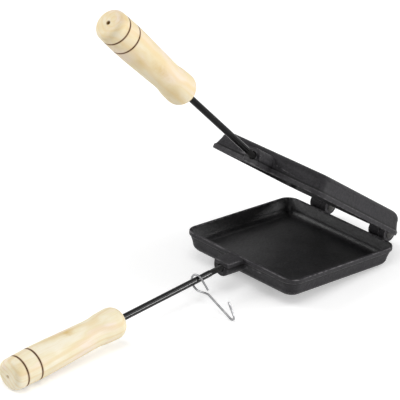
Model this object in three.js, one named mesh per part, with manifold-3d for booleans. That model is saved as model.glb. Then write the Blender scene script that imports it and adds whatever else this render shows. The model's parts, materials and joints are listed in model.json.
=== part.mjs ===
// A camping sandwich iron: two square cast-iron pans that close face to face and are hinged along
// one side. A steel rod is screwed into a boss on each pan and carries a turned wooden grip, and a
// bent wire latch hangs on the lower rod. Millimetres, +Z up; X runs along the hinge and Y from the
// grips to the hinge. The iron stands open on a level surface at Z = 0, on the hinge-side edge of
// the lower pan and the butt of the lower grip. The origin is the middle of its outline on Z = 0.
import * as THREE from 'three';
import { mergeVertices } from 'three/addons/utils/BufferGeometryUtils.js';
import Module from 'manifold-3d';

const wasm = await Module();
wasm.setup();

const degree = Math.PI / 180;

// Fits
const touchGap = 0.3; // left between pieces that touch
const cutOverrun = 1; // how far a cutter runs past the face that it opens

// Pan castings, drawn with the rim at z = 0 and the cavity facing up
const panSide = 126;
const panHeight = 17.8;
const panCornerRadius = 11;
const rimBandHeight = 4;
const rimBandStep = 1.2; // how far the wall stands in under the rim band
const rimEdgeRadius = 0.8;
const wallLean = 1.8; // how far the wall leans in from the band to the base
const baseEdgeRadius = 7;
const rimLand = 2.6; // width of the flat rim
const cavityDepth = 13;
const cavityLean = 2.8; // how far the cavity's wall leans in from the rim to the floor's fillet
const cavityCornerRadius = 5;
const cavityFilletRadius = 4.5;
const cornerSegments = 4;
const filletSegments = 4;

// Boss that takes the rod
const bossLength = 18; // from the rim band's face
const bossWidth = 17;
const bossHeight = 13.4;
const bossTopDrop = 0.4; // top of the boss under the rim
const bossFlare = 1.6; // extra half width where the boss meets the pan
const bossEdgeRadius = 1.2;
const bossSegments = 10;

// Hinge lugs and pins
const hingeInset = 29; // from the pan's left or right side to the middle of a hinge
const hingeReach = 11.2; // pin centre outside the pan's side
const knuckleRadius = 7.2;
const lugNeckDrop = 3.6; // top of the neck under the rim
const lugNeckHeight = 9;
const lugWidth = 11.8; // each lug of the lower pan
const earWidth = 6; // each ear of the upper pan
const lugEdgeRadius = 0.7;
const knuckleSegments = 14;
const pinDiameter = 5;
const pinHeadDiameter = 8;
const pinHeadHeight = 1.2;
const pinHeadShares = [[0, 1], [0.45, 0.93], [0.8, 0.65], [1, 0.2], [1, 0]]; // of radius and height
const pinSegments = 20;

// Rods
const rodDiameter = 5.5;
const lowerRodTilt = 8.2 * degree; // away from the other half
const upperRodTilt = 9.8 * degree;
const rodExitDrop = 3.9; // rod's centre line under the rim, at the rim band's face
const threadDiameter = 5;
const threadPitch = 0.8;
const threadDepth = 0.45;
const threadLength = 25;
const tappedDepth = 17.2; // blind hole in the boss
const lowerThreadEngaged = 13.2; // thread inside the boss; the rods are screwed in by feel
const upperThreadEngaged = 15.6;
const rodTipChamfer = 0.6;
const countersinkDiameter = 7.4;
const countersinkDepth = 1.1;
const rodBareLength = 99.2; // between the thread and the grip
const rodInGrip = 78;
const rodSegments = 12;

// Turned wooden grips, from the front face to the butt
const gripLength = 115.2;
const gripBulgeDiameter = 26.4;
const gripWaistDiameter = 23.7;
const gripWaistPlace = 29.2; // from the front face
const gripBodyDiameter = 26.7;
const gripButtDiameter = 25.9;
const gripFrontFlatDiameter = 11;
const gripFrontRounding = 9; // length of the rounded front
const gripButtRadius = 5.2;
const neckShare = 0.72; // of the bulge's swell, halfway to the waist
const swellShares = [[0.22, 0.35], [0.62, 1], [0.82, 1]]; // of the way to the butt, and of the swell
const gripGrooveWidth = 0.9;
const gripGrooveDepth = 0.4;
const frontGrooveInset = 23.9; // from the butt
const buttGrooveInset = 10.3;
const latheMarkDiameter = 2.6; // centre hole in the butt
const latheMarkDepth = 3;
const gripSegments = 28;
const gripSideSegments = 18;
const gripRoundSteps = 4;

// Wire latch
const wireDiameter = 1.8;
const latchPlace = 44; // along the rod from the rim band's face
const latchEyeRadius = 7.2; // wire's centre line
const latchShankReach = 41; // from the eye's centre to the hook's bend
const latchBendRadius = 3;
const latchLegLength = 12;
const latchLegTurn = 143 * degree; // bend between shank and leg
const latchNeckReach = 13.5;
const latchEyeOpening = 3.4; // free end of the eye, beside the shank
const latchFloorGap = 0.3;
const latchEyeSteps = 12;
const latchBendSteps = 5;
const latchSteps = 84;
const wireSegments = 8;

// Pose
const openAngle = 31 * degree; // between the two rims as the iron stands
const closedGap = 0.3; // between the rims when the iron is shut

const iron = { color: 0x2b2a2d, roughness: 0.62, metalness: 0.35 };
const blackedSteel = { color: 0x0c0c0d, roughness: 0.22, metalness: 0.6 };
const wood = { color: 0xf0e3bf, roughness: 0.6, metalness: 0 };
const brightWire = { color: 0xc9cacc, roughness: 0.25, metalness: 0.95 };

// Places that follow from the sizes above, in a pan's own drawing
const wallHalf = panSide / 2 - rimBandStep;
const baseHalf = wallHalf - wallLean;
const cavityHalf = panSide / 2 - rimLand;
const wallBite = baseHalf - (baseHalf - cavityHalf + cavityLean) / 2; // inside the wall at the base
const hingeWidth = lugWidth + touchGap + earWidth;
const hingeSpacing = panSide - 2 * hingeInset; // from the middle of one hinge to the other
const hingeAxis = new THREE.Vector3(0, panSide / 2 + hingeReach, closedGap / 2);
const lowerFit = { tilt: lowerRodTilt, ...rodPlaces(lowerThreadEngaged) };
const upperFit = { tilt: upperRodTilt, ...rodPlaces(upperThreadEngaged) };

// Where the parts of a rod come, measured along it from the rim band's face.
function rodPlaces(engaged) {
  const tip = bossLength - engaged;
  const shoulder = tip + threadLength;
  return { tip, shoulder, gripFace: shoulder + rodBareLength };
}

function named(name, geometry, finish) {
  const mesh = new THREE.Mesh(geometry, new THREE.MeshStandardMaterial(finish));
  mesh.name = name;
  return mesh;
}

// Closed three.js geometry to a solid for joining and cutting, and back.
function solid(geometry) {
  const bare = geometry.clone();
  bare.deleteAttribute('normal');
  bare.deleteAttribute('uv');
  const merged = mergeVertices(bare);
  return new wasm.Manifold(new wasm.Mesh({
    numProp: 3,
    vertProperties: new Float32Array(merged.attributes.position.array),
    triVerts: new Uint32Array(merged.index.array),
  }));
}

function geometryOf(body) {
  const mesh = body.getMesh();
  const geometry = new THREE.BufferGeometry();
  geometry.setAttribute('position', new THREE.BufferAttribute(mesh.vertProperties, 3));
  geometry.setIndex(new THREE.BufferAttribute(mesh.triVerts, 1));
  geometry.computeVertexNormals();
  return geometry;
}

// A skin over a stack of outlines with equally many points, closed by its first and last outline.
function loft(outlines, capPoints) {
  const count = outlines[0].length;
  const positions = outlines.flat().flatMap((point) => [point.x, point.y, point.z]);
  const faces = [];
  for (let level = 0; level + 1 < outlines.length; level += 1) {
    for (let i = 0; i < count; i += 1) {
      const next = (i + 1) % count;
      const a = level * count + i;
      const b = level * count + next;
      faces.push(a, b, b + count, a, b + count, a + count);
    }
  }
  const last = (outlines.length - 1) * count;
  for (const [a, b, c] of THREE.ShapeUtils.triangulateShape(capPoints, [])) {
    faces.push(c, b, a, last + a, last + b, last + c);
  }
  const geometry = new THREE.BufferGeometry();
  geometry.setAttribute('position', new THREE.Float32BufferAttribute(positions, 3));
  geometry.setIndex(faces);
  return geometry;
}

// Round-cornered square, anticlockwise from above.
function squareOutline(half, radius) {
  const centre = half - radius;
  const outline = new THREE.Shape();
  outline.absarc(centre, centre, radius, 0, Math.PI / 2);
  outline.absarc(-centre, centre, radius, Math.PI / 2, Math.PI);
  outline.absarc(-centre, -centre, radius, Math.PI, 1.5 * Math.PI);
  outline.absarc(centre, -centre, radius, 1.5 * Math.PI, 2 * Math.PI);
  return outline.getPoints(cornerSegments);
}

// A body of square outlines; each level holds its half width and its height, from the bottom up.
function squareStack(levels, cornerRadius) {
  const widest = Math.max(...levels.map((level) => level.half));
  const outlines = levels.map((level) => {
    const radius = cornerRadius - (widest - level.half) / 2;
    return squareOutline(level.half, radius).map((p) => new THREE.Vector3(p.x, p.y, level.z));
  });
  return solid(loft(outlines, squareOutline(widest, cornerRadius)));
}

// A quarter round that leads from a flat floor at z = floor up to a wall at half width half.
function floorFillet(half, floor, radius) {
  const levels = [];
  for (let i = 0; i <= filletSegments; i += 1) {
    const turn = (i / filletSegments) * (Math.PI / 2);
    levels.push({
      half: half - radius * (1 - Math.sin(turn)),
      z: floor + radius * (1 - Math.cos(turn)),
    });
  }
  return levels;
}

function panBlank() {
  return squareStack([
    ...floorFillet(baseHalf, -panHeight, baseEdgeRadius),
    { half: wallHalf, z: -rimBandHeight - rimEdgeRadius },
    { half: panSide / 2 - rimEdgeRadius / 2, z: -rimBandHeight },
    { half: panSide / 2, z: -rimBandHeight + rimEdgeRadius },
    { half: panSide / 2, z: -rimEdgeRadius },
    { half: panSide / 2 - rimEdgeRadius, z: 0 },
  ], panCornerRadius);
}

function panCavity() {
  return squareStack([
    ...floorFillet(cavityHalf - cavityLean, -cavityDepth, cavityFilletRadius),
    { half: cavityHalf, z: -rimEdgeRadius },
    { half: cavityHalf + rimEdgeRadius, z: 0 },
    { half: cavityHalf + rimEdgeRadius, z: cutOverrun },
  ], cavityCornerRadius);
}

// Section of the boss: flat on top, with a half-round underside.
function bossOutline(half, drop, height) {
  const outline = new THREE.Shape();
  outline.moveTo(half, -drop);
  outline.lineTo(-half, -drop);
  outline.absellipse(0, half - height - drop, half, half, Math.PI, 2 * Math.PI);
  return outline.getPoints(bossSegments).slice(0, -1);
}

// The boss stands on the wall at the grip side and runs straight out from it.
function boss() {
  const half = bossWidth / 2;
  const face = panSide / 2 + bossLength;
  const stations = [
    { y: wallBite, grow: bossFlare },
    { y: wallHalf, grow: bossFlare },
    { y: panSide / 2, grow: bossFlare / 2 },
    { y: panSide / 2 + bossFlare, grow: bossFlare / 8 },
    { y: face - bossEdgeRadius, grow: 0 },
    { y: face - bossEdgeRadius / 4, grow: -bossEdgeRadius / 4 },
    { y: face, grow: -bossEdgeRadius },
  ];
  const sections = stations.map(({ y, grow }) => {
    const drop = bossTopDrop - Math.min(grow, 0);
    const height = bossHeight + Math.max(grow, 0) + 2 * Math.min(grow, 0);
    return bossOutline(half + grow, drop, height).map((p) => new THREE.Vector3(p.x, -y, p.y));
  });
  const cap = bossOutline(half, bossTopDrop, bossHeight);
  return solid(loft(sections, cap));
}

// A cutter or piece turned about the rod's centre line; profile points are (radius, distance).
function turnedOnRod(profile, segments, tilt) {
  const geometry = new THREE.LatheGeometry(profile, segments);
  geometry.rotateX(Math.PI + tilt);
  geometry.translate(0, -panSide / 2, -rodExitDrop);
  return geometry;
}

function rodHole(tilt) {
  const bottom = bossLength - tappedDepth;
  const radius = threadDiameter / 2 + touchGap;
  const mouth = countersinkDiameter / 2;
  return solid(turnedOnRod([
    new THREE.Vector2(0, bottom),
    new THREE.Vector2(radius, bottom),
    new THREE.Vector2(radius, bossLength - countersinkDepth),
    new THREE.Vector2(mouth, bossLength),
    new THREE.Vector2(mouth, bossLength + cutOverrun),
    new THREE.Vector2(0, bossLength + cutOverrun),
  ], rodSegments, tilt));
}

// Side view of a hinge lug, as (y, z): a knuckle round the pin on a neck from the pan's wall.
function lugOutline() {
  const y = hingeAxis.y;
  const z = hingeAxis.z;
  const neckTop = -lugNeckDrop;
  const start = Math.PI - Math.asin((neckTop - z) / knuckleRadius);
  const outline = new THREE.Shape();
  outline.moveTo(wallBite, neckTop - lugNeckHeight);
  outline.absarc(y, z, knuckleRadius, -Math.PI / 2, start - 2 * Math.PI, false);
  outline.lineTo(wallBite, neckTop);
  return outline;
}

function lug(left, width) {
  const geometry = new THREE.ExtrudeGeometry(lugOutline(), {
    depth: width - 2 * lugEdgeRadius,
    curveSegments: knuckleSegments,
    bevelEnabled: true,
    bevelThickness: lugEdgeRadius,
    bevelSize: lugEdgeRadius,
    bevelOffset: -lugEdgeRadius,
    bevelSegments: 1,
  });
  geometry.rotateZ(Math.PI / 2);
  geometry.rotateY(Math.PI / 2);
  geometry.translate(left + lugEdgeRadius, 0, 0);
  return solid(geometry);
}

function pinHole() {
  const radius = pinDiameter / 2 + touchGap;
  const geometry = new THREE.CylinderGeometry(radius, radius, 2 * panSide, pinSegments);
  geometry.rotateZ(Math.PI / 2);
  geometry.translate(0, hingeAxis.y, hingeAxis.z);
  return solid(geometry);
}

// One pan casting, with lugs whose left sides stand at the given places along the hinge.
function panCasting(lugPlaces, width, tilt) {
  let casting = panBlank().add(boss());
  for (const left of lugPlaces) {
    casting = casting.add(lug(left, width));
  }
  for (const hollow of [panCavity(), rodHole(tilt), pinHole()]) {
    casting = casting.subtract(hollow);
  }
  return geometryOf(casting);
}

// A rod: rolled thread at the pan's end, then plain bar into the grip.
function rod({ tilt, tip, shoulder, gripFace }) {
  const radius = rodDiameter / 2;
  const crest = threadDiameter / 2;
  const root = crest - threadDepth;
  const turns = Math.floor((threadLength - rodTipChamfer) / threadPitch);
  const profile = [new THREE.Vector2(0, tip), new THREE.Vector2(crest - rodTipChamfer, tip)];
  for (let i = 0; i < turns; i += 1) {
    const place = tip + rodTipChamfer + i * threadPitch;
    profile.push(new THREE.Vector2(crest, place), new THREE.Vector2(root, place + threadPitch / 2));
  }
  const end = gripFace + rodInGrip;
  profile.push(
    new THREE.Vector2(root, shoulder - rodTipChamfer / 2),
    new THREE.Vector2(radius, shoulder),
    new THREE.Vector2(radius, end - rodTipChamfer),
    new THREE.Vector2(radius - rodTipChamfer, end),
    new THREE.Vector2(0, end),
  );
  return turnedOnRod(profile, rodSegments, tilt);
}

// Side of a grip between its rounded ends, as (radius, distance from the front face).
function gripSide() {
  const bulge = gripBulgeDiameter / 2;
  const waist = gripWaistDiameter / 2;
  const body = gripBodyDiameter / 2;
  const buttStart = gripLength - gripButtRadius;
  const mix = THREE.MathUtils.lerp;
  const swell = swellShares.map(([way, rise]) => (
    new THREE.Vector2(mix(waist, body, rise), mix(gripWaistPlace, buttStart, way))
  ));
  return new THREE.SplineCurve([
    new THREE.Vector2(bulge, gripFrontRounding),
    new THREE.Vector2(mix(waist, bulge, neckShare), (gripFrontRounding + gripWaistPlace) / 2),
    new THREE.Vector2(waist, gripWaistPlace),
    ...swell,
    new THREE.Vector2(gripButtDiameter / 2, buttStart),
  ]).getSpacedPoints(gripSideSegments);
}

// The side with a burned V groove cut in at each of the given places.
function grooved(side, places) {
  const half = gripGrooveWidth / 2;
  const points = side.filter((point) => places.every((place) => Math.abs(point.y - place) > half));
  for (const place of places) {
    const next = side.findIndex((point) => point.y > place);
    const [before, after] = [side[next - 1], side[next]];
    const way = (place - before.y) / (after.y - before.y);
    const radius = THREE.MathUtils.lerp(before.x, after.x, way);
    points.push(
      new THREE.Vector2(radius, place - half),
      new THREE.Vector2(radius - gripGrooveDepth, place),
      new THREE.Vector2(radius, place + half),
    );
  }
  return points.sort((a, b) => a.y - b.y);
}

function grip({ tilt, gripFace }) {
  const flat = gripFrontFlatDiameter / 2;
  const swellFromFlat = gripBulgeDiameter / 2 - flat;
  const bore = rodDiameter / 2 + touchGap;
  const boreEnd = rodInGrip + touchGap;
  const profile = [
    new THREE.Vector2(0, boreEnd),
    new THREE.Vector2(bore, boreEnd),
    new THREE.Vector2(bore, 0),
    new THREE.Vector2(flat, 0),
  ];
  for (let i = 1; i < gripRoundSteps; i += 1) {
    const turn = (i / gripRoundSteps) * (Math.PI / 2);
    profile.push(new THREE.Vector2(
      flat + swellFromFlat * Math.sin(turn),
      gripFrontRounding * (1 - Math.cos(turn)),
    ));
  }
  const groovePlaces = [frontGrooveInset, buttGrooveInset].map((inset) => gripLength - inset);
  profile.push(...grooved(gripSide(), groovePlaces));
  const buttFlat = gripButtDiameter / 2 - gripButtRadius;
  for (let i = 1; i <= gripRoundSteps; i += 1) {
    const turn = (i / gripRoundSteps) * (Math.PI / 2);
    profile.push(new THREE.Vector2(
      buttFlat + gripButtRadius * Math.cos(turn),
      gripLength - gripButtRadius * (1 - Math.sin(turn)),
    ));
  }
  profile.push(
    new THREE.Vector2(latheMarkDiameter / 2, gripLength),
    new THREE.Vector2(0, gripLength - latheMarkDepth),
  );
  const placed = profile.map((point) => new THREE.Vector2(point.x, point.y + gripFace));
  return turnedOnRod(placed, gripSegments, tilt);
}

// A hinge pin, riveted over with a low dome at each end.
function hingePin() {
  const radius = pinDiameter / 2;
  const head = pinHeadDiameter / 2;
  const reach = hingeWidth / 2 + touchGap;
  const dome = pinHeadShares.map(([out, rise]) => (
    new THREE.Vector2(head * out, reach + pinHeadHeight * rise)
  ));
  const profile = [
    ...dome.map((point) => new THREE.Vector2(point.x, -point.y)),
    new THREE.Vector2(radius, -reach),
    new THREE.Vector2(radius, reach),
    ...dome.reverse(),
  ];
  const geometry = new THREE.LatheGeometry(profile, pinSegments);
  geometry.rotateZ(-Math.PI / 2);
  return geometry;
}

// Centre line of the latch: a tapered eye, a straight shank along +x and a hook that opens towards
// +y. The eye's centre is the origin.
function latchPath() {
  const points = [new THREE.Vector3(latchNeckReach - wireDiameter, latchEyeOpening, 0)];
  const tangent = Math.acos(latchEyeRadius / latchNeckReach);
  for (let i = 0; i <= latchEyeSteps; i += 1) {
    const turn = tangent + (2 * Math.PI - 2 * tangent) * (i / latchEyeSteps);
    points.push(new THREE.Vector3(
      latchEyeRadius * Math.cos(turn),
      latchEyeRadius * Math.sin(turn),
      0,
    ));
  }
  points.push(
    new THREE.Vector3(latchNeckReach - wireDiameter, -wireDiameter / 2, 0),
    new THREE.Vector3(latchNeckReach + wireDiameter, 0, 0),
    new THREE.Vector3((latchNeckReach + latchShankReach) / 2, 0, 0),
    new THREE.Vector3(latchShankReach - latchBendRadius, 0, 0),
  );
  for (let i = 0; i <= latchBendSteps; i += 1) {
    const turn = latchLegTurn * (i / latchBendSteps) - Math.PI / 2;
    points.push(new THREE.Vector3(
      latchShankReach + latchBendRadius * Math.cos(turn),
      latchBendRadius * (1 + Math.sin(turn)),
      0,
    ));
  }
  const bendEnd = points[points.length - 1];
  const leg = new THREE.Vector3(Math.cos(latchLegTurn), Math.sin(latchLegTurn), 0);
  points.push(
    bendEnd.clone().addScaledVector(leg, latchLegLength / 2),
    bendEnd.clone().addScaledVector(leg, latchLegLength),
  );
  return new THREE.CatmullRomCurve3(points, false, 'centripetal');
}

function latchWire() {
  const section = new THREE.Shape();
  section.absarc(0, 0, wireDiameter / 2, 0, 2 * Math.PI);
  return new THREE.ExtrudeGeometry(section, {
    steps: latchSteps,
    curveSegments: wireSegments / 2,
    bevelEnabled: false,
    extrudePath: latchPath(),
  });
}

// How the lower half stands: tilted until its base edge and the grip's butt are level.
function restingTilt() {
  const edge = new THREE.Vector2(baseHalf - baseEdgeRadius, baseEdgeRadius - panHeight);
  const along = lowerFit.gripFace + gripLength - gripButtRadius;
  const across = gripButtDiameter / 2 - gripButtRadius;
  const butt = new THREE.Vector2(
    -panSide / 2 - along * Math.cos(lowerRodTilt) + across * Math.sin(lowerRodTilt),
    -rodExitDrop - along * Math.sin(lowerRodTilt) - across * Math.cos(lowerRodTilt),
  );
  const gap = edge.clone().sub(butt);
  const tilt = Math.asin((baseEdgeRadius - gripButtRadius) / gap.length()) - gap.angle();
  const floor = edge.x * Math.sin(tilt) + edge.y * Math.cos(tilt) - baseEdgeRadius;
  return { tilt, floor };
}

// The latch hangs on the lower rod with its hook resting just above the surface at +X.
function placedLatch({ tilt, floor }) {
  const group = new THREE.Group();
  const hang = rodDiameter / 2 + touchGap + wireDiameter / 2 - latchEyeRadius;
  const lean = lowerRodTilt + tilt; // of the rod from level
  const y = -panSide / 2 - latchPlace * Math.cos(lowerRodTilt);
  const z = -rodExitDrop - latchPlace * Math.sin(lowerRodTilt);
  const rodHeight = y * Math.sin(tilt) + z * Math.cos(tilt) - floor;
  const room = rodHeight / Math.cos(lean) + hang - latchFloorGap - wireDiameter / 2 - latchBendRadius;
  const bendCentre = new THREE.Vector2(latchShankReach, latchBendRadius);
  const swing = -Math.asin(room / bendCentre.length()) - bendCentre.angle();
  const wire = named('latch_hook', latchWire(), brightWire);
  wire.rotation.z = swing;
  wire.position.y = hang;
  group.add(wire);
  group.rotation.x = Math.PI / 2 + lowerRodTilt;
  group.position.set(0, y, z);
  return group;
}

function panHalf(side, fit, lugPlaces, width) {
  const half = new THREE.Group();
  half.add(named(`${side}_pan`, panCasting(lugPlaces, width, fit.tilt), iron));
  half.add(named(`${side}_rod`, rod(fit), blackedSteel));
  half.add(named(`${side}_grip`, grip(fit), wood));
  return half;
}

// The halves as they stand open, tilted onto the surface.
function sandwichIron() {
  const pose = restingTilt();
  const standing = new THREE.Group();
  const hingeLefts = [-1, 1].map((end) => (end * hingeSpacing - hingeWidth) / 2);
  const lower = panHalf('lower', lowerFit, hingeLefts, lugWidth);
  lower.add(placedLatch(pose));
  for (const [i, side] of ['left', 'right'].entries()) {
    const pin = named(`${side}_hinge_pin`, hingePin(), blackedSteel);
    pin.position.set(hingeLefts[i] + hingeWidth / 2, hingeAxis.y, hingeAxis.z);
    lower.add(pin);
  }
  standing.add(lower);

  const earPlaces = hingeLefts.map((left) => -(left + hingeWidth));
  const upper = panHalf('upper', upperFit, earPlaces, earWidth);
  upper.rotation.y = Math.PI;
  upper.position.set(0, -hingeAxis.y, hingeAxis.z);
  const swung = new THREE.Group();
  swung.position.copy(hingeAxis);
  swung.rotation.x = -openAngle;
  swung.add(upper);
  standing.add(swung);

  standing.rotation.x = pose.tilt;
  const whole = new THREE.Group();
  whole.add(standing);
  const box = new THREE.Box3().setFromObject(whole, true);
  const middle = box.getCenter(new THREE.Vector3());
  standing.position.set(-middle.x, -middle.y, -box.min.z);
  return whole;
}

export default sandwichIron();
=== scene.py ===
"""A camping sandwich iron standing open: two cast-iron pans, two steel rods with wooden grips, and a
wire latch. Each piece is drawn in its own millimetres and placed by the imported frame, in metres."""

import json
import math

import bmesh
import bpy
from mathutils import Matrix, Vector


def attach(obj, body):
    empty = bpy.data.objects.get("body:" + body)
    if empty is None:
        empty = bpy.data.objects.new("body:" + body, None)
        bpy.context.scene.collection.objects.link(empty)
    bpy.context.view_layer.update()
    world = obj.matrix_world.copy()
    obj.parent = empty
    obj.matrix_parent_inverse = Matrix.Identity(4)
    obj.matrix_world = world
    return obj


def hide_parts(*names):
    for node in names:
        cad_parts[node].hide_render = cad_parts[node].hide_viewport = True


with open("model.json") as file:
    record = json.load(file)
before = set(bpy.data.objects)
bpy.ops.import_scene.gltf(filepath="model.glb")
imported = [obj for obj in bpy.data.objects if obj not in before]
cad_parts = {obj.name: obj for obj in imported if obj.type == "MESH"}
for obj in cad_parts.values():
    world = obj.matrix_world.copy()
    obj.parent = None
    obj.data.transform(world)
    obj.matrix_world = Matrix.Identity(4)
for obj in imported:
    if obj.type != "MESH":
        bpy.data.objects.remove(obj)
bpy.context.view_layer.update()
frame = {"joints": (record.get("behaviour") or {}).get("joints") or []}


# ---------------------------------------------------------------------------------------------
# Pan castings. Each half is one sand casting in grey iron: a square pan with a flat rim, a boss
# for its rod at the front and two hinge lugs at the back. Both pans come from one pattern; only
# the lugs differ. They are seasoned black, and the lugs and the boss are left as cast.
MM = 0.001

pan_side = 126
pan_height = 17.8
pan_corner = 11
band_height = 4
band_step = 1.2
rim_edge = 0.8
wall_lean = 1.8
base_edge = 7
rim_land = 2.6
cavity_depth = 13
cavity_lean = 2.8
cavity_corner = 5
cavity_fillet = 6
pan_corner_steps = 10
pan_fillet_steps = 8
pan_edge_steps = 3
wall_overlap = 1.2

boss_length = 18
boss_width = 17
boss_height = 13.4
boss_drop = 0.4
boss_fillet = 2.4
boss_fillet_fade = 1.6
boss_fillet_steps = 6
boss_edge = 1.2
boss_arc_steps = 14
boss_corner_steps = 3

pin_reach = 11.2
shut_gap = 0.3
hinge_spacing = 68
knuckle_radius = 7.2
neck_drop = 3.6
neck_height = 9
lower_lug_width = 11.8
upper_ear_width = 6
lug_gap = 0.3
lug_edge = 0.7
knuckle_steps = 28

rod_exit_drop = 3.9
lower_rod_tilt = math.radians(8.2)
upper_rod_tilt = math.radians(9.8)
tapped_radius = 2.8
tapped_depth = 17.2
countersink_radius = 3.7
countersink_depth = 1.1
pin_hole_radius = 2.8
drill_segments = 32

skin_colours = ((0.007, 0.0066, 0.0077, 1), (0.025, 0.0232, 0.0265, 1))
# The cooking face is coloured lighter than the skin: partly its own tone, partly painted light standing
# in for light in the shaded hollow.
cooking_tone_and_painted_light = ((0.0125, 0.0123, 0.013, 1), (0.036, 0.0352, 0.037, 1))
# Grey of edges rubbed bare; also the colour of the rim band's polish and painted highlight.
rubbed_and_highlight_grey = (0.17, 0.163, 0.17, 1)
# Near-black of the painted shade line under the rim band.
painted_shade_black = (0.0015, 0.0015, 0.0015, 1)
skin_gloss = 0.5
skin_shine = 0.18
skin_sand_depth = 0.3
cooking_gloss = 0.4
cooking_shine = 0.33
cooking_sand_depth = 0.2
upper_iron_offset = (0.3, 0.1, 0.2)
blotch_size = 26
wave_size = 14
worn_patch_size = 5
sand_size = 2.2
fine_size = 0.7
wave_depth = 0.5
fine_depth_share = 0.3
speckle_stops = (0.55, 0.95)
worn_patch_span = (0.42, 0.66)
mottle_span = (0.7, 1.3)
mottle_gloss = (-0.07, 0.08)
# How much lighter the rim band is drawn all round: partly handling polish, partly a painted highlight.
band_polish_and_highlight = 0.08
painted_shade_width = 0.8
painted_shade_strength = 0.9
wear_starts = 0.35
wear_full = 1.1
wear_nearest = 0.5
wear_farthest = 2.0
facing_up = 0.05
usual_crease = 35

joints = {joint["name"]: joint for joint in frame["joints"]}
hinge_place = Vector(joints["pan_hinge"]["pos_m"])
lower_rod_line = Vector(joints["latch_swing"]["axis"])
stand_tilt = math.atan2(-lower_rod_line.z, -lower_rod_line.y) - lower_rod_tilt
open_angle = -math.radians(joints["pan_hinge"]["range_deg"][0])
pin_centre = Vector((0, pan_side / 2 + pin_reach, shut_gap / 2))
hinge_width = lower_lug_width + lug_gap + upper_ear_width
wall_bite = pan_side / 2 - band_step - wall_lean - wall_overlap
hinge_lefts = [(end * hinge_spacing - hinge_width) / 2 for end in (-1, 1)]

to_drawing = Matrix.Translation(-pin_centre * MM)
lower_place = Matrix.Translation(hinge_place) @ Matrix.Rotation(stand_tilt, 4, "X") @ to_drawing
upper_place = (
    Matrix.Translation(hinge_place)
    @ Matrix.Rotation(stand_tilt - open_angle, 4, "X")
    @ Matrix.Rotation(math.pi, 4, "Y")
    @ to_drawing
)


def arc(centre, radius, start, end, steps):
    """Points of a circle arc, both ends included; angles in degrees."""
    turns = [math.radians(start + (end - start) * i / steps) for i in range(steps + 1)]
    return [(centre[0] + radius * math.cos(a), centre[1] + radius * math.sin(a)) for a in turns]


def skin(rings):
    """Vertices and faces of a closed skin over rings of equal count, capped at both ends."""
    count = len(rings[0])
    verts = [point for ring in rings for point in ring]
    faces = [tuple(reversed(range(count)))]
    for level in range(len(rings) - 1):
        for i in range(count):
            a, b = level * count + i, level * count + (i + 1) % count
            faces.append((a, b, b + count, a + count))
    faces.append(tuple(range((len(rings) - 1) * count, len(rings) * count)))
    return verts, faces


def as_object(name, verts, faces):
    """A mesh object in its own millimetres, with its faces turned outwards."""
    mesh = bpy.data.meshes.new(name)
    mesh.from_pydata(verts, [], faces)
    form = bmesh.new()
    form.from_mesh(mesh)
    bmesh.ops.recalc_face_normals(form, faces=form.faces)
    form.to_mesh(mesh)
    form.free()
    made = bpy.data.objects.new(name, mesh)
    bpy.context.scene.collection.objects.link(made)
    return made


def square_skin(profile, corner):
    """A body of round-cornered squares from (half width, height) points."""
    widest = max(half for half, height in profile)
    rings = []
    for half, height in profile:
        radius = corner - (widest - half) / 2
        c = half - radius
        ring = []
        for quarter, (x, y) in enumerate(((c, c), (-c, c), (-c, -c), (c, -c))):
            ring += arc((x, y), radius, 90 * quarter, 90 * (quarter + 1), pan_corner_steps)
        rings.append([(x, y, height) for x, y in ring])
    return skin(rings)


def pan_skin():
    """The pan before it is hollowed: base, leaning wall, rim band and rounded rim."""
    wall = pan_side / 2 - band_step
    base = wall - wall_lean
    outer = pan_side / 2 - rim_edge
    profile = arc((base - base_edge, base_edge - pan_height), base_edge, -90, 0, pan_fillet_steps)
    profile += [(wall, -band_height - rim_edge)]
    profile += arc((outer, rim_edge - band_height), rim_edge, -60, 0, pan_edge_steps)
    profile += arc((outer, -rim_edge), rim_edge, 0, 90, pan_edge_steps)
    return square_skin(profile, pan_corner)


def cavity_skin():
    """The hollow that holds the bread, with a rounded rim and a fillet round its floor."""
    inner = pan_side / 2 - rim_land
    floor = inner - cavity_lean - cavity_fillet
    profile = [(inner + rim_edge, rim_edge)]
    profile += arc((inner + rim_edge, -rim_edge), rim_edge, 90, 180, pan_edge_steps)
    profile += arc((floor, cavity_fillet - cavity_depth), cavity_fillet, 0, -90, pan_fillet_steps)
    return square_skin(profile, cavity_corner)


def boss_section(y, grow):
    """The boss's flat-topped, round-bottomed section at one distance out from the pan. Its fillet
    fades out underneath, where the pan's wall curves away to the base."""
    half = boss_width / 2 + grow
    top = -boss_drop + min(grow, 0)
    low = -boss_drop - boss_height + boss_width / 2
    edge = boss_edge
    outline = []
    for side, down in arc((0, 0), 1, 180, 360, boss_arc_steps):
        fade = max(0, 1 + boss_fillet_fade * down) if grow > 0 else 1
        reach = boss_width / 2 + grow * fade
        outline.append((reach * side, low + reach * down))
    outline += arc((half - edge, top - edge), edge, 0, 90, boss_corner_steps)
    outline += arc((edge - half, top - edge), edge, 90, 180, boss_corner_steps)
    return [(x, y, z) for x, z in outline]


def boss_skin():
    """The boss, from inside the wall through its fillet out to its rounded front face."""
    wall = pan_side / 2 - band_step - wall_lean / 2
    face = pan_side / 2 + boss_length
    stations = [(wall_bite, boss_fillet)]
    for grow, y in arc((boss_fillet, wall + boss_fillet), boss_fillet, 270, 180, boss_fillet_steps):
        stations.append((y, grow))
    for y, shrink in arc((face - boss_edge, boss_edge), boss_edge, -90, 0, boss_corner_steps):
        stations.append((y, -shrink))
    return skin([boss_section(-y, grow) for y, grow in stations])


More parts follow.
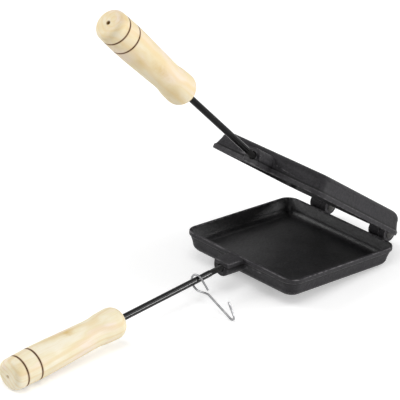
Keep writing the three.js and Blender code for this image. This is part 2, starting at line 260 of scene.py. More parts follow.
def inset(outline, depth):
    """An outline moved inwards by a distance; the outline runs anticlockwise."""
    moved = []
    for i, (x, y) in enumerate(outline):
        before, after = Vector(outline[i - 1]), Vector(outline[(i + 1) % len(outline)])
        here = Vector((x, y))
        first = (here - before).normalized()
        second = (after - here).normalized()
        inward = Vector((-first.y - second.y, first.x + second.x)).normalized()
        moved.append(tuple(here + inward * depth))
    return moved


def lug_skin(left, width):
    """A hinge lug: a knuckle round the pin on a neck that grows out of the pan's wall."""
    y, z = pin_centre.y, pin_centre.z
    root = wall_bite
    turn = math.degrees(math.asin((neck_drop + z) / knuckle_radius))
    outline = [(root, -neck_drop - neck_height)]
    outline += arc((y, z), knuckle_radius, -90, 180 + turn, knuckle_steps)
    outline += [(root, -neck_drop)]
    near = arc((left + lug_edge, lug_edge), lug_edge, 180, 90, pan_edge_steps)
    rings = []
    for x, kept in near:
        rings.append([(x, *point) for point in inset(outline, 2 * lug_edge - kept)])
    for x, kept in reversed(near):
        far = 2 * left + width - x
        rings.append([(far, *point) for point in inset(outline, 2 * lug_edge - kept)])
    return skin(rings)


def turned(profile, segments):
    """A piece turned about its own Z axis from (radius, height) points, open ends capped."""
    rings = []
    for radius, height in profile:
        turns = [2 * math.pi * i / segments for i in range(segments)]
        rings.append([(radius * math.cos(a), radius * math.sin(a), height) for a in turns])
    return skin(rings)


def along_rod(tilt):
    """From the rod's own drawing, Z away from the pan, to the pan's drawing; still millimetres."""
    return Matrix.Translation((0, -pan_side / 2, -rod_exit_drop)) @ Matrix.Rotation(
        math.pi / 2 + tilt, 4, "X"
    )


def cut_or_join(body, tools, operation):
    """Joins the tools to the body, or cuts them out of it, and removes the tools."""
    for tool in tools:
        step = body.modifiers.new(operation.lower(), "BOOLEAN")
        step.operation = operation
        step.solver = "EXACT"
        step.object = tool
    shape = bpy.context.evaluated_depsgraph_get()
    bpy.context.view_layer.update()
    whole = bpy.data.meshes.new_from_object(body.evaluated_get(shape))
    body.modifiers.clear()
    body.data = whole
    for tool in tools:
        bpy.data.objects.remove(tool)


def mark_wear(mesh):
    """Keeps how rubbed each vertex is, from how tightly the surface curves outwards there."""
    form = bmesh.new()
    form.from_mesh(mesh)
    rubbed = [0.0] * len(form.verts)
    for edge in form.edges:
        if len(edge.link_faces) != 2:
            continue
        one, two = (face.calc_center_median() for face in edge.link_faces)
        across = min(max((one - two).length, wear_nearest), wear_farthest)
        curve = edge.calc_face_angle_signed(0.0) / across
        amount = min(max((curve - wear_starts) / (wear_full - wear_starts), 0.0), 1.0)
        for vertex in edge.verts:
            rubbed[vertex.index] = max(rubbed[vertex.index], amount)
    form.free()
    mesh.attributes.new("rubbed", "FLOAT", "POINT").data.foreach_set("value", rubbed)


def finish_piece(piece, place, materials, body, node, slot_name, crease=usual_crease):
    """Scales a piece to metres, shades it, places it, gives it its materials, ties it to its body and
    hides the imported part named by its node; its slot name is not used.
    Its finish still goes by where each point was drawn."""
    mesh = piece.data
    form = bmesh.new()
    form.from_mesh(mesh)
    for face in form.faces:
        face.smooth = True
    for edge in form.edges:
        edge.smooth = edge.calc_face_angle(math.pi) < math.radians(crease)
    form.to_mesh(mesh)
    form.free()
    mesh.transform(Matrix.Scale(MM, 4))
    drawn = mesh.attributes.new("drawn", "FLOAT_VECTOR", "POINT")
    drawn.data.foreach_set("vector", [number for vertex in mesh.vertices for number in vertex.co])
    mesh.transform(place)
    for material in materials:
        mesh.materials.append(material)
    even = piece.modifiers.new("even_shading", "WEIGHTED_NORMAL")
    even.keep_sharp = True
    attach(piece, body)
    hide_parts(node)


def new_finish(name):
    """An empty material with its shader, and the place of each point in the piece's drawing."""
    material = bpy.data.materials.new(name)
    material.use_nodes = True
    tree = material.node_tree
    shader = tree.nodes["Principled BSDF"]
    drawn = tree.nodes.new("ShaderNodeAttribute")
    drawn.attribute_name = "drawn"
    return material, tree, shader, drawn.outputs["Vector"]


def shifted(tree, own, offset, stretch=(1, 1, 1)):
    """The piece's coordinates moved and stretched, so that like pieces don't look alike."""
    mapping = tree.nodes.new("ShaderNodeMapping")
    mapping.inputs["Location"].default_value = offset
    mapping.inputs["Scale"].default_value = stretch
    tree.links.new(own, mapping.inputs["Vector"])
    return mapping.outputs["Vector"]


def grain(tree, where, size, detail=3.0, roughness=0.5):
    """Noise whose lumps are about the given size in millimetres."""
    noise = tree.nodes.new("ShaderNodeTexNoise")
    noise.inputs["Scale"].default_value = 1 / (size * MM)
    noise.inputs["Detail"].default_value = detail
    noise.inputs["Roughness"].default_value = roughness
    tree.links.new(where, noise.inputs["Vector"])
    return noise.outputs["Fac"]


def shades(tree, amount, stops):
    """Colours between stops, each (position, colour)."""
    stops = list(stops)
    ramp = tree.nodes.new("ShaderNodeValToRGB")
    ends = ramp.color_ramp.elements
    while len(ends) < len(stops):
        ends.new(0.5)
    for end, (position, colour) in zip(ends, stops):
        end.position = position
        end.color = colour
    tree.links.new(amount, ramp.inputs["Fac"])
    return ramp.outputs["Color"]


def ranged(tree, amount, low, high, to_low, to_high):
    """A value moved from one range to another, clamped."""
    node = tree.nodes.new("ShaderNodeMapRange")
    for name, number in zip(("From Min", "From Max", "To Min", "To Max"), (low, high, to_low, to_high)):
        node.inputs[name].default_value = number
    tree.links.new(amount, node.inputs["Value"])
    return node.outputs["Result"]


def sum_of(tree, operation, first, second):
    """Two values put together; the second may be a plain number."""
    node = tree.nodes.new("ShaderNodeMath")
    node.operation = operation
    tree.links.new(first, node.inputs[0])
    if isinstance(second, (int, float)):
        node.inputs[1].default_value = second
    else:
        tree.links.new(second, node.inputs[1])
    return node.outputs["Value"]


def blended(tree, amount, first, second):
    """Two colours mixed by an amount; the second may be a plain colour."""
    node = tree.nodes.new("ShaderNodeMix")
    node.data_type = "RGBA"
    colour_sockets = [socket for socket in node.inputs if socket.type == "RGBA"]
    tree.links.new(amount, node.inputs[0])
    tree.links.new(first, colour_sockets[0])
    if isinstance(second, tuple):
        colour_sockets[1].default_value = second
    else:
        tree.links.new(second, colour_sockets[1])
    return node.outputs[2]


def relief(tree, height, depth, under=None):
    """Bump of the given depth in millimetres, on top of another bump if there is one."""
    bump = tree.nodes.new("ShaderNodeBump")
    bump.inputs["Strength"].default_value = 1.0
    bump.inputs["Distance"].default_value = depth * MM
    tree.links.new(height, bump.inputs["Height"])
    if under is not None:
        tree.links.new(under, bump.inputs["Normal"])
    return bump.outputs["Normal"]


def cast_iron(name, offset, colours, gloss, sand_depth, shine, banded):
    """Seasoned grey iron: sandy skin, soft blotches of seasoning, edges rubbed a little bare; on the
    skin a rim band drawn lighter by polish and a painted highlight, over a painted shade line.
    """
    material, tree, shader, own = new_finish(name)
    where = shifted(tree, own, offset)
    blotch = grain(tree, where, blotch_size, detail=4.0, roughness=0.55)
    sand = grain(tree, where, sand_size, roughness=0.65)
    fine = grain(tree, where, fine_size, detail=2.0)
    wave = grain(tree, where, wave_size, detail=2.0, roughness=0.4)
    speckle = sum_of(tree, "ADD", sum_of(tree, "MULTIPLY", blotch, 0.5), sand)
    colour = shades(tree, speckle, zip(speckle_stops, colours))
    attribute = tree.nodes.new("ShaderNodeAttribute")
    attribute.attribute_name = "rubbed"
    patches = grain(tree, where, worn_patch_size, detail=4.0, roughness=0.6)
    worn = ranged(tree, patches, *worn_patch_span, 0.0, 1.0)
    bare = sum_of(tree, "MULTIPLY", attribute.outputs["Fac"], worn)
    colour = blended(tree, bare, colour, rubbed_and_highlight_grey)
    if banded:
        place = tree.nodes.new("ShaderNodeSeparateXYZ")
        tree.links.new(own, place.inputs["Vector"])
        low, high = -(band_height + rim_edge) * MM, -band_height * MM
        # The rim band is drawn a little lighter: partly handling polish, partly a painted highlight.
        polished_and_lit = ranged(tree, place.outputs["Z"], low, high, 0.0, band_polish_and_highlight)
        colour = blended(tree, polished_and_lit, colour, rubbed_and_highlight_grey)
        # Painted shade: a dark line along the undercut beneath the rim band, where shade falls.
        under = sum_of(tree, "ABSOLUTE", sum_of(tree, "SUBTRACT", place.outputs["Z"], low), 0.0)
        painted_band_shade = ranged(tree, under, painted_shade_width / 2 * MM, painted_shade_width * MM, painted_shade_strength, 0.0)
        colour = blended(tree, painted_band_shade, colour, painted_shade_black)
    tree.links.new(colour, shader.inputs["Base Color"])
    mottle = sum_of(tree, "ADD", blotch, fine)
    rough = ranged(tree, mottle, *mottle_span, *(gloss + more for more in mottle_gloss))
    tree.links.new(rough, shader.inputs["Roughness"])
    shader.inputs["Specular IOR Level"].default_value = shine
    normal = relief(tree, wave, wave_depth)
    normal = relief(tree, sand, sand_depth, normal)
    normal = relief(tree, fine, sand_depth * fine_depth_share, normal)
    tree.links.new(normal, shader.inputs["Normal"])
    return material


def pan(name, lug_lefts, lug_width, rod_tilt):
    """One casting: pan, boss and lugs joined, then hollowed and drilled for the rod and the pins."""
    casting = as_object(name, *pan_skin())
    added = [as_object("boss", *boss_skin())]
    added += [as_object("lug", *lug_skin(left, lug_width)) for left in lug_lefts]
    cut_or_join(casting, added, "UNION")
    bottom = boss_length - tapped_depth
    past = boss_length + countersink_depth
    rod_hole = as_object("drill", *turned([
        (tapped_radius, bottom),
        (tapped_radius, boss_length - countersink_depth),
        (countersink_radius, boss_length),
        (countersink_radius, past),
    ], drill_segments))
    rod_hole.data.transform(along_rod(rod_tilt))
    through = [(pin_hole_radius, -pan_side), (pin_hole_radius, pan_side)]
    pin_hole = as_object("reamer", *turned(through, drill_segments))
    pin_hole.data.transform(Matrix.Translation(pin_centre) @ Matrix.Rotation(math.pi / 2, 4, "Y"))
    cut_or_join(casting, [as_object("hollow", *cavity_skin()), rod_hole, pin_hole], "DIFFERENCE")
    mark_wear(casting.data)
    return casting


def pan_finishes(casting, side, offset):
    """The sandy outer skin, and inside the rim the smoother cooking face, coloured lighter than the
    skin partly as painted light in the hollow.
    """
    for face in casting.data.polygons:
        reach = max(abs(face.center.x), abs(face.center.y))
        within = reach < pan_side / 2 - rim_land and face.center.z < -rim_edge
        face.material_index = 1 if within and face.normal.z > facing_up else 0
    skin_ways = (skin_colours, skin_gloss, skin_sand_depth, skin_shine, True)
    cooking_ways_with_painted_light = (cooking_tone_and_painted_light, cooking_gloss, cooking_sand_depth, cooking_shine, False)
    return (
        cast_iron(f"{side}_skin", offset, *skin_ways),
        cast_iron(f"{side}_cooking_face_with_painted_light", offset, *cooking_ways_with_painted_light),
    )


ear_lefts = [-(left + hinge_width) for left in hinge_lefts]
for side, place, lefts, width, tilt, offset in (
    ("lower", lower_place, hinge_lefts, lower_lug_width, lower_rod_tilt, (0, 0, 0)),
    ("upper", upper_place, ear_lefts, upper_ear_width, upper_rod_tilt, upper_iron_offset),
):
    casting = pan(f"{side}_casting", lefts, width, tilt)
    iron = pan_finishes(casting, side, offset)
    finish_piece(casting, place, iron, f"{side}_half", f"{side}_pan", "cast_iron")


# ---------------------------------------------------------------------------------------------
# Hinge pins. A short steel rivet runs through each pair of lugs, with a low dome at both ends.
pin_radius = 2.5
pin_head_radius = 4
pin_head_height = 1.2
pin_dome_steps = 5
pin_dome_turn = 88
pin_segments = 32

pin_colours = ((0.03, 0.029, 0.028, 1), (0.09, 0.087, 0.083, 1))
pin_colour_stops = (0.35, 0.7)
pin_gloss_span = (0.3, 0.7)
pin_gloss = (0.35, 0.6)
pin_metal = 0.6
pin_blotch_size = 2.5
pin_dent_size = 1.1
pin_dent_depth = 0.1


def rivet_skin():
    """The pin along its own Z axis, with an elliptical dome past each lug."""
    reach = hinge_width / 2 + lug_gap
    dome = []
    for i in range(pin_dome_steps + 1):
        turn = math.radians(pin_dome_turn * i / pin_dome_steps)
        dome.append((pin_head_radius * math.cos(turn), reach + pin_head_height * math.sin(turn)))
    start = [(radius, -height) for radius, height in reversed(dome)]
    return turned([*start, (pin_radius, -reach), (pin_radius, reach), *dome], pin_segments)


def rivet_steel():
    """Blacked steel that has been hammered over."""
    material, tree, shader, own = new_finish("rivet_steel")
    blotch = grain(tree, own, pin_blotch_size, roughness=0.6)
    colour = shades(tree, blotch, zip(pin_colour_stops, pin_colours))
    tree.links.new(colour, shader.inputs["Base Color"])
    tree.links.new(ranged(tree, blotch, *pin_gloss_span, *pin_gloss), shader.inputs["Roughness"])
    shader.inputs["Metallic"].default_value = pin_metal
    dents = relief(tree, grain(tree, own, pin_dent_size), pin_dent_depth)
    tree.links.new(dents, shader.inputs["Normal"])
    return material


rivet_finish = rivet_steel()
for left, side in zip(hinge_lefts, ("left", "right")):
    rivet = as_object(f"{side}_rivet", *rivet_skin())
    middle = Vector((left + hinge_width / 2, pin_centre.y, pin_centre.z))
    rivet_place = lower_place @ Matrix.Translation(middle * MM) @ Matrix.Rotation(math.pi / 2, 4, "Y")
    finish_piece(rivet, rivet_place, [rivet_finish], "lower_half", f"{side}_hinge_pin", "pin_steel")


# ---------------------------------------------------------------------------------------------
# Rods. Each is a length of round steel bar, blacked and polished, with a rolled thread at the
# pan's end that is screwed into the boss; the other end is driven into the wooden grip.
rod_radius = 2.75
thread_radius = 2.5
thread_pitch = 0.8
thread_depth = 0.45
thread_length = 25
rod_tip_chamfer = 0.6
lower_engaged = 13.2
upper_engaged = 15.6
rod_bare = 99.2
rod_in_grip = 78
rod_segments = 36
thread_steps = 6

rod_black = (0.004, 0.004, 0.0045, 1)
rod_dull = (0.014, 0.0135, 0.0135, 1)
rod_colour_stops = (0.35, 0.8)
rod_gloss_span = (0.3, 0.8)
rod_gloss = (0.05, 0.14)
lower_rod_shine = 0.24
upper_rod_shine = 0.08
upper_rod_offset = 0.2
rod_streak_size = 2.2
rod_streak_pull = 0.2
rod_scratch_size = 1.0
rod_scratch_depth = 0.015
thread_fade = 2
thread_dulling = 0.35


def rod_skin():
    """A rod along its own Z axis from its threaded tip, with a real helical thread."""
    rings = []
    steps = int(thread_length / thread_pitch * thread_steps)
    for i in range(steps + 1):
        z = i * thread_length / steps
        run = min(z / rod_tip_chamfer, (thread_length - z) / thread_pitch, 1)
        ring = []
        for j in range(rod_segments):
            share = j / rod_segments
            tooth = abs(2 * ((z / thread_pitch - share) % 1) - 1)
            radius = thread_radius - thread_depth * (1 - tooth * run)
            turn = 2 * math.pi * share
            ring.append((radius * math.cos(turn), radius * math.sin(turn), z))
        rings.append(ring)
    end = thread_length + rod_bare + rod_in_grip
    for radius, z in (
        (rod_radius - rod_tip_chamfer / 2, thread_length + rod_tip_chamfer / 2),
        (rod_radius, thread_length + rod_tip_chamfer),
        (rod_radius, end - rod_tip_chamfer),
        (rod_radius - rod_tip_chamfer, end),
    ):
        turns = [2 * math.pi * j / rod_segments for j in range(rod_segments)]
        rings.append([(radius * math.cos(a), radius * math.sin(a), z) for a in turns])
    return skin(rings)


def black_bar(name, offset, shine):
    """Blacked, polished bar, duller and rougher on the thread."""
    material, tree, shader, own = new_finish(name)
    where = shifted(tree, own, offset, (1, 1, rod_streak_pull))
    place = tree.nodes.new("ShaderNodeSeparateXYZ")
    tree.links.new(own, place.inputs["Vector"])
    plain = (thread_length + thread_fade) * MM
    threaded = ranged(tree, place.outputs["Z"], thread_length * MM, plain, 1.0, 0.0)
    streak = grain(tree, where, rod_streak_size, roughness=0.6)
    colour = shades(tree, streak, zip(rod_colour_stops, (rod_black, rod_dull)))
    tree.links.new(blended(tree, threaded, colour, rod_dull), shader.inputs["Base Color"])
    polish = ranged(tree, streak, *rod_gloss_span, *rod_gloss)
    rough = sum_of(tree, "ADD", polish, sum_of(tree, "MULTIPLY", threaded, thread_dulling))
    tree.links.new(rough, shader.inputs["Roughness"])
    shader.inputs["Specular IOR Level"].default_value = shine
    scratches = relief(tree, grain(tree, where, rod_scratch_size), rod_scratch_depth)
    tree.links.new(scratches, shader.inputs["Normal"])
    return material


def rod_start(engaged):
    """From the rod's drawing to the line of the rod, in metres, with its tip inside the boss."""
    return Matrix.Translation((0, 0, (boss_length - engaged) * MM))


def in_metres(place):
    """A placing in millimetres with its shift in metres."""
    moved = place.copy()
    moved.translation = moved.translation * MM
    return moved


lower_line = lower_place @ in_metres(along_rod(lower_rod_tilt)) @ rod_start(lower_engaged)
upper_line = upper_place @ in_metres(along_rod(upper_rod_tilt)) @ rod_start(upper_engaged)
for side, line, shift, shine in (
    ("lower", lower_line, 0.0, lower_rod_shine),
    ("upper", upper_line, upper_rod_offset, upper_rod_shine),
):
    bar = as_object(f"{side}_bar", *rod_skin())
    steel = black_bar(f"{side}_black_bar", (shift, 0, 0), shine)
    finish_piece(bar, line, [steel], f"{side}_half", f"{side}_rod", "blacked_steel")


# ---------------------------------------------------------------------------------------------
# Grips. Turned from pale softwood with a waist behind a round nose, two rings burned in near the
# butt with a wire, and the lathe's centre mark left in the butt. Bored and driven on to the rod.
grip_length = 115.2
grip_bulge = 13.2
grip_waist = 11.85
grip_waist_place = 29.2
grip_body = 13.35
grip_butt = 12.95
grip_nose_flat = 5.5
grip_nose_length = 9
grip_butt_edge = 5.2
neck_share = 0.72
swell_shares = ((0.22, 0.35), (0.62, 1), (0.82, 1))
groove_places = (91.3, 104.9)
groove_half_width = 0.5
groove_depth = 0.4
groove_bluntness = 0.6
centre_mark_radius = 1.3
centre_mark_depth = 3
centre_mark_mouth_share = 1.3
centre_mark_taper_share = 0.3
butt_face_start = 9
grip_gap = 0.3
grip_segments = 72
grip_round_steps = 10
grip_side_steps = 56
grip_crease = 50

lower_tints = ((0.92, 0.85, 0.68, 1), (0.88, 0.79, 0.56, 1), (0.92, 0.8, 0.67, 1))
upper_tints = ((0.85, 0.75, 0.55, 1), (0.82, 0.69, 0.44, 1), (0.86, 0.73, 0.58, 1))
wood_streak = (0.8, 0.6, 0.3, 1)
wood_knot = (0.72, 0.53, 0.24, 1)
wood_heart = (0.16, 0.08, 0.02, 1)
wood_toast = (0.4, 0.17, 0.05, 1)
wood_burn = (0.04, 0.012, 0.003, 1)
# Each stain: distance from the front face, turn round the grip, half length, half width, strength.
lower_stains = ((54, 88, 7, 4.5, 1.0), (64, 100, 24, 6, 0.35), (110, 40, 7, 9, 0.4))
upper_stains = (
    (50, 168, 17, 4.5, 0.75),
    (73, 137, 9, 5, 0.5),
    (22, 145, 13, 6, 0.35),
    (112, 225, 5, 6, 0.7),
)
stain_edge_size = 3
stain_edge_span = (0.6, 1.6)
tint_stops = (0.36, 0.5, 0.66)
lower_log_place = (0.021, 0.032, 0.1)
upper_log_place = (0.003, 0.004, 0.5)
growth_ring_scale = 80
growth_ring_pull = 0.06
growth_ring_bend = 4.0
growth_ring_detail = 3.0
growth_ring_detail_scale = 1.2
fibre_size = 0.7
fibre_pull = 0.03
cloud_size = 12
cloud_pull = 0.35
late_wood_span = (0.6, 1.0)
late_wood_strength = 0.42
fibre_span = (0.5, 0.75)
fibre_strength = 0.35
lower_mark_dirt = 0.2
upper_mark_dirt = 1.0
dirt_radius = 1.2
dirt_reach = 2.2
dirt_starts = 8
dirt_full = 5
scorch_size = 6
scorch_span = (0.25, 0.7)
scorch_strengths = (0.75, 1.0)
toast_fade = 1.5
toast_strength = 0.8
burn_fade = 0.75
wood_gloss_span = (0.3, 0.7)
wood_gloss = (0.5, 0.62)
wood_shine = 0.2
growth_ring_depth = 0.03
fibre_depth = 0.05


def smooth_through(points, steps):
    """A Catmull-Rom curve through points, as evenly many points for each stretch."""
    points = [Vector(point) for point in points]
    ends = [2 * points[0] - points[1], *points, 2 * points[-1] - points[-2]]
    path = []
    stretch = max(1, steps // (len(points) - 1))
    for i in range(1, len(ends) - 2):
        p0, p1, p2, p3 = ends[i - 1 : i + 3]
        for j in range(stretch):
            t = j / stretch
            path.append(
                0.5 * (2 * p1 + (p2 - p0) * t + (2 * p0 - 5 * p1 + 4 * p2 - p3) * t**2
                       + (3 * p1 - p0 - 3 * p2 + p3) * t**3)
            )
    return [*path, points[-1]]


def grip_side():
    """The grip's side between its rounded ends, with a V groove at each burned ring."""
    start = grip_length - grip_butt_edge
    fuller = grip_body - grip_waist
    behind = start - grip_waist_place
    swell = [
        (grip_waist + fuller * rise, grip_waist_place + behind * way) for way, rise in swell_shares
    ]
    neck = grip_waist + (grip_bulge - grip_waist) * neck_share
    side = smooth_through([
        (grip_bulge, grip_nose_length),
        (neck, (grip_nose_length + grip_waist_place) / 2),
        (grip_waist, grip_waist_place),
        *swell,
        (grip_butt, start),
    ], grip_side_steps)
    clear = [
        p for p in side if all(abs(p.y - place) > 2 * groove_half_width for place in groove_places)
    ]
    for place in groove_places:
        after = next(i for i, p in enumerate(side) if p.y > place)
        radius = side[after - 1].lerp(side[after], 0.5).x
        for step in (-1, -0.5, 0, 0.5, 1):
            cut = groove_depth * (1 - abs(step)) ** groove_bluntness
            clear.append(Vector((radius - cut, place + step * groove_half_width)))
    return sorted(((p.x, p.y) for p in clear), key=lambda point: point[1])


def grip_skin():
    """The grip along its own Z axis from its front face, with its blind bore."""
    bore = rod_radius + grip_gap
    end = rod_in_grip + grip_gap
    nose = []
    for i in range(1, grip_round_steps):
        turn = math.pi / 2 * i / grip_round_steps
        out = grip_nose_flat + (grip_bulge - grip_nose_flat) * math.sin(turn)
        nose.append((out, grip_nose_length * (1 - math.cos(turn))))
    turning = (grip_butt - grip_butt_edge, grip_length - grip_butt_edge)
    butt = arc(turning, grip_butt_edge, butt_face_start, 90, grip_round_steps)
    taper = centre_mark_radius * centre_mark_taper_share
    mark = [
        (centre_mark_radius * centre_mark_mouth_share, grip_length),
        (centre_mark_radius, grip_length - taper),
        (taper, grip_length - centre_mark_depth),
    ]
    front = [(bore, end), (bore, 0), (grip_nose_flat, 0)]
    return turned([*front, *nose, *grip_side(), *butt, *mark], grip_segments)


def stained(tree, own, stain):
    """How strongly one long, soft stain colours each point of the grip."""
    place, turn, half_length, half_width, strength = stain
    turn = math.radians(turn)
    centre = Vector((grip_body * math.cos(turn), grip_body * math.sin(turn), place))
    narrow = (1 / half_width, 1 / half_width, 1 / half_length)
    offset = [-centre[i] * narrow[i] for i in range(3)]
    away = tree.nodes.new("ShaderNodeVectorMath")
    away.operation = "LENGTH"
    scale = [number / MM for number in narrow]
    tree.links.new(shifted(tree, own, offset, scale), away.inputs[0])
    edge = grain(tree, own, stain_edge_size, roughness=0.6)
    ragged = sum_of(tree, "ADD", away.outputs["Value"], edge)
    return ranged(tree, ragged, *stain_edge_span, strength, 0.0)


def pale_wood(name, offset, tints, stains, mark_dirt):
    """Pale softwood: the grain is one set of growth rings that runs the length of the grip."""
    material, tree, shader, own = new_finish(name)
    rings_at = shifted(tree, own, offset, (1, 1, growth_ring_pull))
    bend = tree.nodes.new("ShaderNodeTexWave")
    bend.wave_type = "RINGS"
    bend.rings_direction = "Z"
    bend.inputs["Scale"].default_value = growth_ring_scale
    bend.inputs["Distortion"].default_value = growth_ring_bend
    bend.inputs["Detail"].default_value = growth_ring_detail
    bend.inputs["Detail Scale"].default_value = growth_ring_detail_scale
    tree.links.new(rings_at, bend.inputs["Vector"])
    fibre_at = shifted(tree, own, offset, (1, 1, fibre_pull))
    fibre = grain(tree, fibre_at, fibre_size, roughness=0.6)
    cloud = grain(tree, shifted(tree, own, offset, (1, 1, cloud_pull)), cloud_size)
    tint = shades(tree, cloud, zip(tint_stops, tints))
    late = ranged(tree, bend.outputs["Fac"], *late_wood_span, 0.0, late_wood_strength)
    colour = blended(tree, late, tint, wood_streak)
    thread = ranged(tree, fibre, *fibre_span, 0.0, fibre_strength)
    colour = blended(tree, thread, colour, wood_streak)
    for stain in stains:
        colour = blended(tree, stained(tree, own, stain), colour, wood_knot)
    place = tree.nodes.new("ShaderNodeSeparateXYZ")
    tree.links.new(own, place.inputs["Vector"])
    from_axis = tree.nodes.new("ShaderNodeVectorMath")
    from_axis.operation = "LENGTH"
    tree.links.new(shifted(tree, own, (0, 0, 0), (1, 1, 0)), from_axis.inputs[0])
    out = from_axis.outputs["Value"]
    dirt = ranged(tree, out, dirt_radius * MM, dirt_reach * MM, mark_dirt, 0.0)
    clean, full = (grip_length - dirt_starts) * MM, (grip_length - dirt_full) * MM
    at_butt = ranged(tree, place.outputs["Z"], clean, full, 0.0, 1.0)
    colour = blended(tree, sum_of(tree, "MULTIPLY", dirt, at_butt), colour, wood_heart)
    away = None
    for at in groove_places:
        along = sum_of(tree, "SUBTRACT", place.outputs["Z"], at * MM)
        from_ring = sum_of(tree, "ABSOLUTE", along, 0.0)
        away = from_ring if away is None else sum_of(tree, "MINIMUM", away, from_ring)
    uneven = grain(tree, own, scorch_size, roughness=0.6)
    scorch = ranged(tree, uneven, *scorch_span, *scorch_strengths)
    toasted = ranged(tree, away, groove_half_width * MM, toast_fade * MM, toast_strength, 0.0)
    colour = blended(tree, sum_of(tree, "MULTIPLY", toasted, scorch), colour, wood_toast)
    burned = ranged(tree, away, groove_half_width * MM, burn_fade * MM, 1.0, 0.0)
    colour = blended(tree, sum_of(tree, "MULTIPLY", burned, scorch), colour, wood_burn)
    tree.links.new(colour, shader.inputs["Base Color"])
    rough = ranged(tree, cloud, *wood_gloss_span, *wood_gloss)
    tree.links.new(sum_of(tree, "MAXIMUM", rough, burned), shader.inputs["Roughness"])
    shader.inputs["Specular IOR Level"].default_value = wood_shine
    normal = relief(tree, bend.outputs["Fac"], growth_ring_depth)
    tree.links.new(relief(tree, fibre, fibre_depth, normal), shader.inputs["Normal"])
    return material


to_grip = Matrix.Translation((0, 0, (thread_length + rod_bare) * MM))
for side, line, offset, tints, stains, mark_dirt in (
    ("lower", lower_line, lower_log_place, lower_tints, lower_stains, lower_mark_dirt),
    ("upper", upper_line, upper_log_place, upper_tints, upper_stains, upper_mark_dirt),
):
    handle = as_object(f"{side}_handle", *grip_skin())
    wood = pale_wood(f"{side}_wood", offset, tints, stains, mark_dirt)
    ties = (f"{side}_half", f"{side}_grip", "turned_wood")
    finish_piece(handle, line @ to_grip, [wood], *ties, crease=grip_crease)


# ---------------------------------------------------------------------------------------------
# Latch. One length of bright zinc-plated wire, bent by hand: an eye round the lower rod, a straight
# shank and an open hook that goes over the upper rod when the iron is shut.
wire_radius = 0.9
eye_radius = 7.2
eye_opening = 3.4
neck_reach = 13.5
shank_reach = 41
bend_radius = 3
leg_length = 12
leg_turn = 143
floor_gap = 0.3
wire_segments = 16
wire_steps = 4
eye_steps = 12
bend_steps = 5
cut_end_share = 0.75
cut_end_round = 0.2
wire_crease = 60

zinc_colours = ((0.27, 0.27, 0.28, 1), (0.4, 0.4, 0.41, 1))
zinc_colour_stops = (0.35, 0.62)
zinc_gloss_span = (0.3, 0.7)
zinc_gloss = (0.42, 0.3)
zinc_metal = 0.8
zinc_patch_size = 4
draw_mark_size = 0.6
draw_mark_depth = 0.015


def latch_line():
    """The wire's centre line, with the eye's centre at the origin and the shank along x."""
    tangent = math.degrees(math.acos(eye_radius / neck_reach))
    points = [(neck_reach - 2 * wire_radius, eye_opening)]
    points += arc((0, 0), eye_radius, tangent, 360 - tangent, eye_steps)
    points += [
        (neck_reach - 2 * wire_radius, -wire_radius),
        (neck_reach + 2 * wire_radius, 0),
        ((neck_reach + shank_reach) / 2, 0),
        (shank_reach - bend_radius, 0),
    ]
    points += arc((shank_reach, bend_radius), bend_radius, -90, leg_turn - 90, bend_steps)
    end = Vector(points[-1])
    leg = Vector((math.cos(math.radians(leg_turn)), math.sin(math.radians(leg_turn))))
    points += [tuple(end + leg * leg_length / 2), tuple(end + leg * leg_length)]
    return smooth_through(points, wire_steps * (len(points) - 1))


def wire_skin():
    """A round wire swept along the latch's line, its cut ends a little rounded."""
    line = latch_line()
    rings = []
    for i, here in enumerate(line):
        ahead = line[min(i + 1, len(line) - 1)] - line[max(i - 1, 0)]
        across = Vector((-ahead.y, ahead.x)).normalized()
        turns = [2 * math.pi * j / wire_segments for j in range(wire_segments)]
        # A cut end is a smaller ring on the line's end and a full one a little way in from it.
        stations = [(1.0, 0.0)]
        if i == 0:
            stations = [(cut_end_share, 0.0), (1.0, cut_end_round)]
        elif i == len(line) - 1:
            stations = [(1.0, -cut_end_round), (cut_end_share, 0.0)]
        for share, inwards in stations:
            centre = here + ahead.normalized() * inwards
            ring = []
            for a in turns:
                flat = centre + across * (wire_radius * share * math.cos(a))
                ring.append((flat.x, flat.y, wire_radius * share * math.sin(a)))
            rings.append(ring)
    return skin(rings)


def bright_zinc():
    """Bright wire with fine draw marks and a few dull patches of plating."""
    material, tree, shader, own = new_finish("bright_zinc")
    patch = grain(tree, own, zinc_patch_size, detail=4.0, roughness=0.6)
    colour = shades(tree, patch, zip(zinc_colour_stops, zinc_colours))
    tree.links.new(colour, shader.inputs["Base Color"])
    tree.links.new(ranged(tree, patch, *zinc_gloss_span, *zinc_gloss), shader.inputs["Roughness"])
    shader.inputs["Metallic"].default_value = zinc_metal
    draw_marks = relief(tree, grain(tree, own, draw_mark_size), draw_mark_depth)
    tree.links.new(draw_marks, shader.inputs["Normal"])
    return material


def latch_place():
    """Where the latch hangs: its eye on the rod, its hook just off the surface."""
    rod_at = Vector(joints["latch_swing"]["pos_m"]) / MM
    lean = math.atan2(-lower_rod_line.z, -lower_rod_line.y)
    hang = rod_radius + grip_gap + wire_radius - eye_radius
    room = rod_at.z / math.cos(lean) + hang - floor_gap - wire_radius - bend_radius
    far = math.hypot(shank_reach, bend_radius)
    swing = -math.asin(room / far) - math.atan2(bend_radius, shank_reach)
    return (
        Matrix.Translation(rod_at * MM)
        @ Matrix.Rotation(math.pi / 2 + lean, 4, "X")
        @ Matrix.Translation((0, hang * MM, 0))
        @ Matrix.Rotation(swing, 4, "Z")
    )


latch = as_object("wire_latch", *wire_skin())
ties = ("latch", "latch_hook", "bright_wire")
finish_piece(latch, latch_place(), [bright_zinc()], *ties, crease=wire_crease)


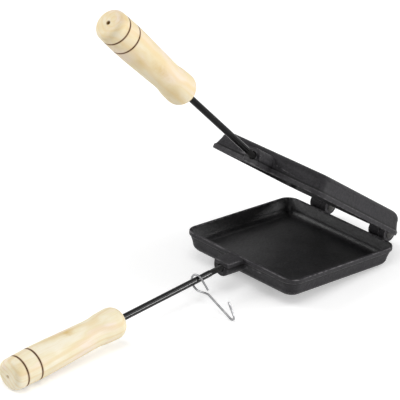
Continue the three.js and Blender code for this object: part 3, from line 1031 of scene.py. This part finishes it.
# ---------------------------------------------------------------------------------------------
# Studio. A white sweep under three soft banks, overhead, at the left and behind, with two small low
# boxes: one behind at the right, for the line along the lower rod, and one in front for the
# corners. The camera is a long lens at the photograph's angle, about 2.2 m away.
camera_place = (1.3971, -1.3410, 1.0869)
camera_azimuth = 46.007
camera_elevation = 27.084
camera_roll = 0.561
camera_focal_px = 2750
image_px = 400
sensor_width = 36
camera_far = 50
sweep_size = 6.0
sweep_white = (0.86, 0.86, 0.86, 1)
sweep_gloss = 0.9
sweep_lift = 0.36
world_strength = 0.28
world_lift = 0.3
# Each lamp: its place, the point it looks at, its width and its power.
lamps = {
    "left_bank": ((-1.25, -0.8, 1.0), (0, 0, 0.08), 0.9, 14),
    "back_bank": ((0.8, 1.1, 1.15), (0, 0, 0.08), 0.8, 6),
    "overhead_bank": ((0.3, -0.45, 1.6), (0, 0, 0.08), 0.9, 8),
    "right_box": ((1.25, 0.95, 0.32), (0, 0, 0.05), 0.36, 11),
    "front_box": ((1.15, -1.15, 0.3), (0, 0.1, 0.05), 0.36, 3),
}

camera = bpy.data.objects.new("camera", bpy.data.cameras.new("camera"))
camera.data.sensor_width = sensor_width
camera.data.lens = camera_focal_px * sensor_width / image_px
camera.data.clip_end = camera_far
camera.matrix_world = (
    Matrix.Translation(camera_place)
    @ Matrix.Rotation(math.radians(camera_azimuth), 4, "Z")
    @ Matrix.Rotation(math.radians(90 - camera_elevation), 4, "X")
    @ Matrix.Rotation(math.radians(camera_roll), 4, "Z")
)
bpy.context.scene.collection.objects.link(camera)
bpy.context.scene.camera = camera


def seen_plainly(tree):
    """One where the camera, a mirror or glass looks straight at the surround, else nothing."""
    path = tree.nodes.new("ShaderNodeLightPath")
    seen = sum_of(tree, "MAXIMUM", path.outputs["Is Camera Ray"], path.outputs["Is Glossy Ray"])
    return sum_of(tree, "MAXIMUM", seen, path.outputs["Is Transmission Ray"])


def sweep_finish():
    """Matt white paper, lifted to plain white where the camera or a mirror sees it unshadowed."""
    material, tree, shader, _ = new_finish("white_sweep")
    shader.inputs["Base Color"].default_value = sweep_white
    shader.inputs["Roughness"].default_value = sweep_gloss
    shader.inputs["Specular IOR Level"].default_value = 0.0
    seen = seen_plainly(tree)
    shader.inputs["Emission Color"].default_value = (1, 1, 1, 1)
    tree.links.new(sum_of(tree, "MULTIPLY", seen, sweep_lift), shader.inputs["Emission Strength"])
    return material


half_sweep = sweep_size / 2
corners = [(x * half_sweep, y * half_sweep, 0) for x, y in ((-1, -1), (1, -1), (1, 1), (-1, 1))]
sweep = as_object("sweep", corners, [(0, 1, 2, 3)])
sweep.data.materials.append(sweep_finish())


def soft_light(name, place, aim, size, power):
    """A square softbox that looks at a point on the object."""
    lamp = bpy.data.lights.new(name, "AREA")
    lamp.shape = "SQUARE"
    lamp.size = size
    lamp.energy = power
    holder = bpy.data.objects.new(name, lamp)
    holder.location = place
    holder.rotation_euler = (Vector(aim) - Vector(place)).to_track_quat("-Z", "Y").to_euler()
    bpy.context.scene.collection.objects.link(holder)


for name, (place, aim, size, power) in lamps.items():
    soft_light(name, place, aim, size, power)

world = bpy.data.worlds.new("studio")
world.use_nodes = True
background = world.node_tree.nodes["Background"]
background.inputs["Color"].default_value = (1, 1, 1, 1)
tree = world.node_tree
seen = seen_plainly(tree)
lifted = sum_of(tree, "ADD", sum_of(tree, "MULTIPLY", seen, world_lift), world_strength)
tree.links.new(lifted, background.inputs["Strength"])
bpy.context.scene.world = world
bpy.context.scene.view_settings.view_transform = "Standard"
